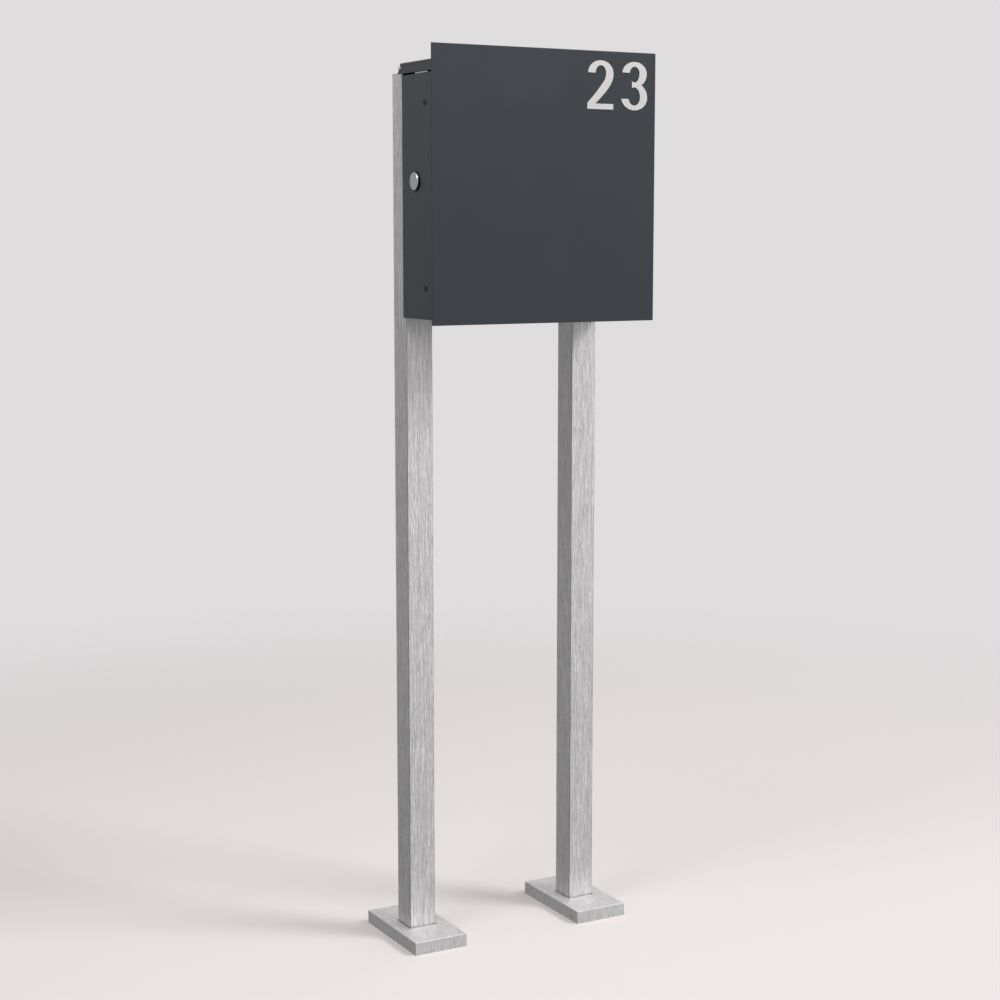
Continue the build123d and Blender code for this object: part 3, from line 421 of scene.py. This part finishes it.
def finishes():
    """Every material by its record slot, made once."""
    if "powder_coat_door" in bpy.data.materials:
        return {slot: bpy.data.materials[name] for slot, name in FINISH_OF.items()}
    wants = bpy.context.scene.letterbox_finishes
    grain = wants.coat_grain
    wide, run = wants.streak_width, wants.streak_length
    made = [
        powder_coat("powder_coat_door", wants.door, grain),
        # the body's coat is drawn lighter than the door's: painted light
        powder_coat("powder_coat_body", wants.body, grain),
        powder_coat("powder_coat_lid", wants.body, grain),
        powder_coat("powder_coat_inner", wants.inner, grain, roughness=0.5),
        powder_coat("powder_coat_hinge", wants.body, grain, roughness=0.38),
        # corner=0.4 darkens the posts' rolled corners: painted shade
        belt_ground_steel(
            "belt_ground_post", wants.post, (wide, run),
            contrast=0.24, roughness=0.64, corner=0.4,
        ),
        belt_ground_steel(
            "belt_ground_cap", wants.post, (wide, run / 2),
            contrast=0.12, roughness=0.6, on_top=True,
        ),
        belt_ground_steel(
            "belt_ground_cover", wants.cover, (wide * 1.2, run * 0.4),
            contrast=0.17, roughness=0.64, on_top=True,
        ),
        belt_ground_steel(
            "belt_ground_digit", wants.digit, (wide * 0.6, run * 0.05),
            contrast=0.12, roughness=0.64,
        ),
        plain_steel("mill_finish_base_plate", wants.plate, roughness=0.42, grain=6 * MM),
        plain_steel("plain_steel_fastener", wants.bolt, roughness=0.3),
        plain_steel(
            "drawn_steel_rod", wants.rod, roughness=0.22, grain=1.5 * MM, contrast=0.03
        ),
        plain_steel(
            "satin_chrome_lock", wants.chrome, roughness=0.28, grain=5 * MM, contrast=0.02
        ),
        # near-black lock ring: painted shade for the dark reflection of a chrome rim
        plain_steel(
            "lock_ring_painted_shade", wants.lock_ring_shade,
            roughness=0.26, grain=2 * MM, contrast=0.08, metallic=0.5,
        ),
        plain_steel("turned_brass_plug", wants.brass, roughness=0.24, grain=1.5 * MM),
        plain_steel(
            "blackened_steel_screw", wants.screw,
            roughness=0.38, grain=1.5 * MM, contrast=0.15, metallic=0.6,
        ),
        rubber("sponge_rubber_gasket", wants.seal, roughness=0.85, pores=0.7 * MM),
        # pale pads: partly their own tone, partly painted light for the bright strip in the
        # lid's gap
        rubber("cast_silicone_pad", wants.pad, roughness=0.6, pores=0.9 * MM),
    ]
    if {m.name for m in made} != set(FINISH_OF.values()):
        raise RuntimeError("the list of finishes doesn't match the record's slots")
    return finishes()


FINISH_OF = {
    "door_paint": "powder_coat_door",
    "body_paint": "powder_coat_body",
    "lid_paint": "powder_coat_lid",
    "inner_paint": "powder_coat_inner",
    "hinge_steel": "powder_coat_hinge",
    "post_steel": "belt_ground_post",
    "cap_steel": "belt_ground_cap",
    "cover_steel": "belt_ground_cover",
    "digit_steel": "belt_ground_digit",
    "plate_steel": "mill_finish_base_plate",
    "bolt_steel": "plain_steel_fastener",
    "rod_steel": "drawn_steel_rod",
    "lock_chrome": "satin_chrome_lock",
    "lock_black": "lock_ring_painted_shade",
    "plug_brass": "turned_brass_plug",
    "seal_rubber": "sponge_rubber_gasket",
    "buffer_rubber": "cast_silicone_pad",
    "dark_screw": "blackened_steel_screw",
}


# ---- pieces -------------------------------------------------------------------


def piece(name, bm, body, slot):
    """Turns a bmesh into a finished piece that rides on a body."""
    mesh = bpy.data.meshes.new(name)
    bm.to_mesh(mesh)
    bm.free()
    mesh.polygons.foreach_set("use_smooth", [True] * len(mesh.polygons))
    mesh.set_sharp_from_angle(angle=SHADED_AS_ONE)
    made = bpy.data.objects.new(name, mesh)
    bpy.context.scene.collection.objects.link(made)
    weights = made.modifiers.new("even shading", "WEIGHTED_NORMAL")
    weights.keep_sharp = True
    mesh.materials.append(finishes()[slot])
    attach(made, body)
    return made


def rounded(node, name, edge):
    """Stands for a CAD piece: its own shape, with every sharp edge rounded."""
    steps = bpy.context.scene.letterbox_edges.steps
    bm = bmesh.new()
    bm.from_mesh(frame["nodes"][node].data)
    bmesh.ops.remove_doubles(bm, verts=bm.verts, dist=SAME_CORNER)
    bmesh.ops.dissolve_limit(bm, angle_limit=FLAT, verts=bm.verts, edges=bm.edges)
    sharp = [e for e in bm.edges if e.is_manifold and e.calc_face_angle() > SHARP]
    bmesh.ops.bevel(
        bm, geom=sharp, offset=edge, offset_type="OFFSET", affect="EDGES",
        segments=steps, profile=0.5, material=-1, clamp_overlap=True,
    )
    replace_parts(piece(name, bm, BODY_OF[node], SLOT_OF[node]), node)


def weld_bead(bm, start, end, width, pitch):
    """Adds a rippled bead of weld along a straight seam."""
    sides, narrow, wide, fewest = 10, 0.8, 1.25, 4  # each ripple is undone by the next
    along = end - start
    rings = 2 * max(fewest, round(along.length / pitch))
    step = along / rings
    turn = along.to_track_quat("Z", "Y").to_matrix().to_4x4()
    ring = bmesh.ops.create_circle(bm, segments=sides, radius=width / 2, cap_ends=True)["verts"]
    bmesh.ops.transform(bm, matrix=Matrix.Translation(start) @ turn, verts=ring)
    front = [e for e in bm.edges if all(v in ring for v in e.verts)]
    at = start.copy()
    for i in range(rings):
        grown = bmesh.ops.extrude_edge_only(bm, edges=front)["geom"]
        ring = [v for v in grown if isinstance(v, bmesh.types.BMVert)]
        front = [e for e in grown if isinstance(e, bmesh.types.BMEdge)]
        at += step
        bmesh.ops.translate(bm, vec=step, verts=ring)
        size = narrow if i % 2 else wide
        bmesh.ops.scale(bm, vec=(size, size, size), space=Matrix.Translation(-at), verts=ring)
    bmesh.ops.contextual_create(bm, geom=front)


class LETTERBOX_OT_posts(bpy.types.Operator):
    """Ground square posts and their caps"""

    bl_idname = "letterbox.posts"
    bl_label = "Posts"

    def execute(self, context):
        edges = context.scene.letterbox_edges
        for hand in HANDS:
            rounded(f"{hand}_post", f"{hand}_square_tube", edges.post)
            rounded(f"{hand}_post_cap", f"{hand}_tube_cap", edges.post)
        return {"FINISHED"}


class LETTERBOX_OT_feet(bpy.types.Operator):
    """Base plates, the welds that hold the posts on them, and the covers"""

    bl_idname = "letterbox.feet"
    bl_label = "Feet"

    def execute(self, context):
        edges = context.scene.letterbox_edges
        details = context.scene.letterbox_details
        for hand in HANDS:
            rounded(f"{hand}_base_plate", f"{hand}_foot_plate", edges.cover)
            rounded(f"{hand}_foot_cover", f"{hand}_cover_shell", edges.cover)
            low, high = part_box(f"{hand}_post")
            inset = 4 * MM  # each weld stops this far short of the post's corners
            run = high.x - low.x - 2 * inset
            bm = bmesh.new()
            for x, y, dx, dy in (
                (low.x, low.y, 1, 0), (high.x, low.y, 0, 1),
                (high.x, high.y, -1, 0), (low.x, high.y, 0, -1),
            ):
                along = Vector((dx, dy, 0))
                start = Vector((x, y, low.z)) + along * inset
                weld_bead(
                    bm, start, start + along * run, details.foot_bead, details.bead_pitch
                )
            bmesh.ops.recalc_face_normals(bm, faces=bm.faces)
            piece(f"{hand}_foot_weld", bm, BODY_OF[f"{hand}_post"], "plate_steel")
        return {"FINISHED"}


class LETTERBOX_OT_body(bpy.types.Operator):
    """Folded body, the sheets inside it, and the welded hinge sleeves"""

    bl_idname = "letterbox.body"
    bl_label = "Body"

    def execute(self, context):
        edges = context.scene.letterbox_edges
        details = context.scene.letterbox_details
        rounded("body_shell", "folded_body", edges.sheet)
        rounded("mail_chute", "chute_sheet", edges.sheet)
        rounded("mail_keeper", "keeper_sheet", edges.sheet)
        rounded("hinge_sleeves", "welded_sleeves", edges.hardware)
        low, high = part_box("hinge_sleeves")
        sleeve = 40 * MM
        inset = 3 * MM  # each weld stops this far short of its sleeve's ends
        off_wall = 0.6 * MM
        seam_z = low.z + 0.225 * (high.z - low.z)  # in the corner under the sleeve
        middle = (low.x + high.x) / 2
        bm = bmesh.new()
        for left in (low.x, middle - sleeve / 2, high.x - sleeve):
            start = Vector((left + inset, low.y + off_wall, seam_z))
            weld_bead(
                bm, start, start + Vector((sleeve - 2 * inset, 0, 0)),
                details.sleeve_bead, details.bead_pitch,
            )
        bmesh.ops.recalc_face_normals(bm, faces=bm.faces)
        piece("sleeve_weld", bm, BODY_OF["hinge_sleeves"], "body_paint")
        return {"FINISHED"}


class LETTERBOX_OT_rubber(bpy.types.Operator):
    """Gasket round the door opening and pads under the lid"""

    bl_idname = "letterbox.rubber"
    bl_label = "Gasket and pads"

    def execute(self, context):
        edges = context.scene.letterbox_edges
        rounded("door_seal", "foam_gasket", edges.pad)
        rounded("lid_buffers", "lid_pads", edges.pad)
        return {"FINISHED"}


class LETTERBOX_OT_lid(bpy.types.Operator):
    """Folded lid and the rod that it turns on"""

    bl_idname = "letterbox.lid"
    bl_label = "Lid"

    def execute(self, context):
        edges = context.scene.letterbox_edges
        rounded("lid", "folded_lid", edges.sheet)
        rounded("lid_rod", "lid_hinge_rod", edges.hardware)
        return {"FINISHED"}


class LETTERBOX_OT_door(bpy.types.Operator):
    """Front plate, the frame behind it, and the riveted catch"""

    bl_idname = "letterbox.door"
    bl_label = "Door"

    def execute(self, context):
        edges = context.scene.letterbox_edges
        rounded("front_plate", "door_panel", edges.plate)
        rounded("door_frame", "folded_frame", edges.sheet)
        rounded("catch", "folded_catch", edges.sheet)
        rounded("catch_rivets", "rivet_heads", edges.hardware)
        return {"FINISHED"}


class LETTERBOX_OT_number(bpy.types.Operator):
    """House number on the front plate"""

    bl_idname = "letterbox.number"
    bl_label = "House number"

    def execute(self, context):
        edges = context.scene.letterbox_edges
        rounded("digit_two", "numeral_two", edges.digit)
        rounded("digit_three", "numeral_three", edges.digit)
        return {"FINISHED"}


class LETTERBOX_OT_hinges(bpy.types.Operator):
    """Door hinges, with a rounded end on each pin"""

    bl_idname = "letterbox.hinges"
    bl_label = "Door hinges"

    def execute(self, context):
        edges = context.scene.letterbox_edges
        details = context.scene.letterbox_details
        radius, rise = details.pin_head_radius, details.pin_head_height
        slices, turns = 6, 28  # faces up a pin's rounded end, and round it
        for place in ("lower", "upper"):
            rounded(f"{place}_wall_leaf", f"{place}_fixed_leaf", edges.sheet)
            rounded(f"{place}_door_leaf", f"{place}_moving_leaf", edges.sheet)
            rounded(f"{place}_hinge_pin", f"{place}_pin_shaft", edges.hardware)
            low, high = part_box(f"{place}_hinge_pin")
            centre = (low + high) / 2
            bm = bmesh.new()
            for end, up in ((high.z, 1), (low.z, -1)):
                corners = [bm.verts.new((centre.x, centre.y, end))]
                for i in range(slices + 1):
                    a = pi / 2 * i / slices
                    corners.append(bm.verts.new(
                        (centre.x + radius * cos(a), centre.y, end + up * rise * sin(a))
                    ))
                loop = [bm.edges.new(pair) for pair in zip(corners, corners[1:])]
                bmesh.ops.spin(
                    bm, geom=corners + loop, cent=(centre.x, centre.y, 0), axis=(0, 0, 1),
                    angle=2 * pi, steps=turns, use_merge=True,
                )
            bmesh.ops.remove_doubles(bm, verts=bm.verts, dist=0.01 * MM)
            bmesh.ops.recalc_face_normals(bm, faces=bm.faces)
            piece(f"{place}_pin_ends", bm, BODY_OF[f"{place}_hinge_pin"], "rod_steel")
        return {"FINISHED"}


class LETTERBOX_OT_fasteners(bpy.types.Operator):
    """Bolts, washers, nuts and screws"""

    bl_idname = "letterbox.fasteners"
    bl_label = "Fasteners"

    def execute(self, context):
        edge = context.scene.letterbox_edges.hardware
        rounded("body_bolts", "hex_bolts", edge)
        rounded("body_washers", "flat_washers", edge)
        rounded("post_nuts", "weld_nuts", edge)
        rounded("side_screws", "low_head_screws", edge)
        rounded("side_nuts", "side_hex_nuts", edge)
        rounded("hinge_screws", "leaf_screws", edge)
        rounded("hinge_nuts", "leaf_hex_nuts", edge)
        return {"FINISHED"}


class LETTERBOX_OT_lock(bpy.types.Operator):
    """Cam lock with its swinging cover"""

    bl_idname = "letterbox.lock"
    bl_label = "Lock"

    def execute(self, context):
        edge = context.scene.letterbox_edges.hardware
        rounded("lock_housing", "lock_barrel", edge)
        rounded("lock_nut", "barrel_nut", edge)
        rounded("lock_plug", "key_plug", edge)
        rounded("lock_cam", "cam_blade", edge)
        rounded("cam_screw", "blade_screw", edge)
        rounded("dust_cover", "keyhole_cover", edge)
        rounded("dust_cover_pin", "keyhole_cover_pin", edge / 2)
        return {"FINISHED"}


# ---- stage --------------------------------------------------------------------


class LETTERBOX_OT_stage(bpy.types.Operator):
    """Pale floor, soft light and camera"""

    bl_idname = "letterbox.stage"
    bl_label = "Stage"

    def execute(self, context):
        scene = context.scene
        wants = scene.letterbox_stage
        floor_radius, fade_from, fade_to = 3.6, 0.9, 2.8
        lights = (  # name, place, size and power
            ("key_light", (2.6, -2.4, 3.9), 1.7, wants.key_power),
            ("top_light", (-0.8, -0.3, 1.85), 0.6, wants.top_power),
        )
        aimed_at = Vector((0, 0, 0.85))
        bright_side = Vector((0.62, -0.66, 0.30)).normalized()
        scene.view_settings.view_transform = "Standard"

        lens = bpy.data.cameras.new("stage_camera")
        lens.lens = wants.lens
        lens.sensor_width = 36
        lens.clip_start = 0.05
        camera = bpy.data.objects.new("stage_camera", lens)
        camera.location = wants.camera
        camera.rotation_euler = (pi / 2 - wants.tilt, 0, -wants.heading)
        scene.collection.objects.link(camera)
        scene.camera = camera

        # floor: a wide disc that fades out into the distance's colour
        bm = bmesh.new()
        bmesh.ops.create_circle(bm, segments=96, radius=floor_radius, cap_ends=True)
        mesh = bpy.data.meshes.new("stage_floor")
        bm.to_mesh(mesh)
        bm.free()
        floor = bpy.data.objects.new("stage_floor", mesh)
        floor.visible_glossy = False
        scene.collection.objects.link(floor)
        matt = bpy.data.materials.new("matt_floor")
        matt.use_nodes = True
        tree = matt.node_tree
        tree.nodes.clear()
        place = add(tree, "ShaderNodeTexCoord")
        away = add(
            tree, "ShaderNodeVectorMath", {0: place.outputs["Object"]}, operation="LENGTH"
        )
        fade = add(
            tree, "ShaderNodeMapRange",
            {"Value": away.outputs["Value"], "From Min": fade_from, "From Max": fade_to},
            interpolation_type="SMOOTHSTEP",
        )
        near = add(tree, "ShaderNodeBsdfDiffuse", {"Color": (*wants.floor, 1)})
        far = add(tree, "ShaderNodeBsdfTransparent")
        mixed = add(
            tree, "ShaderNodeMixShader",
            {0: fade.outputs[0], 1: near.outputs[0], 2: far.outputs[0]},
        )
        add(tree, "ShaderNodeOutputMaterial", {"Surface": mixed.outputs[0]})
        mesh.materials.append(matt)

        # two soft lights: the larger one in front on the right, the other overhead
        for name, place, size, power in lights:
            area = bpy.data.lights.new(name, "AREA")
            area.shape = "DISK"
            area.size = size
            area.energy = power
            light = bpy.data.objects.new(name, area)
            light.location = place
            aim = aimed_at - light.location
            light.rotation_euler = aim.to_track_quat("-Z", "Y").to_euler()
            light.visible_camera = False
            scene.collection.objects.link(light)

        # soft light from all round, brighter in front, on the right and above
        world = bpy.data.worlds.new("soft_room")
        world.use_nodes = True
        scene.world = world
        tree = world.node_tree
        tree.nodes.clear()
        place = add(tree, "ShaderNodeTexCoord").outputs["Generated"]
        side = add(
            tree, "ShaderNodeVectorMath", {0: place, 1: bright_side}, operation="DOT_PRODUCT"
        )
        room = add(
            tree, "ShaderNodeMapRange",
            {
                "Value": side.outputs["Value"], "From Min": -0.8, "From Max": 0.95,
                "To Min": 0.40, "To Max": 0.98,
            },
        )
        height = add(tree, "ShaderNodeSeparateXYZ", {0: place})
        rise = add(
            tree, "ShaderNodeMapRange",
            {
                "Value": height.outputs[2], "From Min": -0.4, "From Max": 0.15,
                "To Min": 0.55, "To Max": 0.98,
            },
        )
        level = add(
            tree, "ShaderNodeMath", {0: room.outputs[0], 1: rise.outputs[0]},
            operation="MULTIPLY",
        )
        soft = add(
            tree, "ShaderNodeBackground",
            {"Color": (1.0, 0.99, 0.99, 1), "Strength": level.outputs[0]},
        )
        seen = add(tree, "ShaderNodeBackground", {"Color": (*wants.distance, 1)})
        path = add(tree, "ShaderNodeLightPath")
        either = add(
            tree, "ShaderNodeMixShader",
            {0: path.outputs["Is Camera Ray"], 1: soft.outputs[0], 2: seen.outputs[0]},
        )
        add(tree, "ShaderNodeOutputWorld", {"Surface": either.outputs[0]})
        return {"FINISHED"}


class LETTERBOX_PT_sidebar(bpy.types.Panel):
    bl_label = "Letterbox"
    bl_idname = "LETTERBOX_PT_sidebar"
    bl_space_type = "VIEW_3D"
    bl_region_type = "UI"
    bl_category = "Letterbox"

    def draw(self, context):
        for group in SETTINGS:
            box = self.layout.box()
            held = getattr(context.scene, group)
            for key in held.__annotations__:
                box.prop(held, key)
        for operator in OPERATORS:
            self.layout.operator(operator.bl_idname)


SETTINGS = {
    "letterbox_edges": LETTERBOX_PG_edges,
    "letterbox_details": LETTERBOX_PG_details,
    "letterbox_finishes": LETTERBOX_PG_finishes,
    "letterbox_stage": LETTERBOX_PG_stage,
}
OPERATORS = (
    LETTERBOX_OT_stage,
    LETTERBOX_OT_posts,
    LETTERBOX_OT_feet,
    LETTERBOX_OT_body,
    LETTERBOX_OT_rubber,
    LETTERBOX_OT_lid,
    LETTERBOX_OT_door,
    LETTERBOX_OT_number,
    LETTERBOX_OT_hinges,
    LETTERBOX_OT_fasteners,
    LETTERBOX_OT_lock,
)


def register():
    for group in SETTINGS.values():
        bpy.utils.register_class(group)
    for operator in OPERATORS:
        bpy.utils.register_class(operator)
    bpy.utils.register_class(LETTERBOX_PT_sidebar)
    for name, group in SETTINGS.items():
        setattr(bpy.types.Scene, name, PointerProperty(type=group))


def unregister():
    for name in SETTINGS:
        delattr(bpy.types.Scene, name)
    bpy.utils.unregister_class(LETTERBOX_PT_sidebar)
    for operator in reversed(OPERATORS):
        bpy.utils.unregister_class(operator)
    for group in reversed(SETTINGS.values()):
        bpy.utils.unregister_class(group)


def main():
    register()
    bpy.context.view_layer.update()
    for operator in OPERATORS:
        area, name = operator.bl_idname.split(".")
        getattr(getattr(bpy.ops, area), name)()


if __name__ == "__main__":
    main()
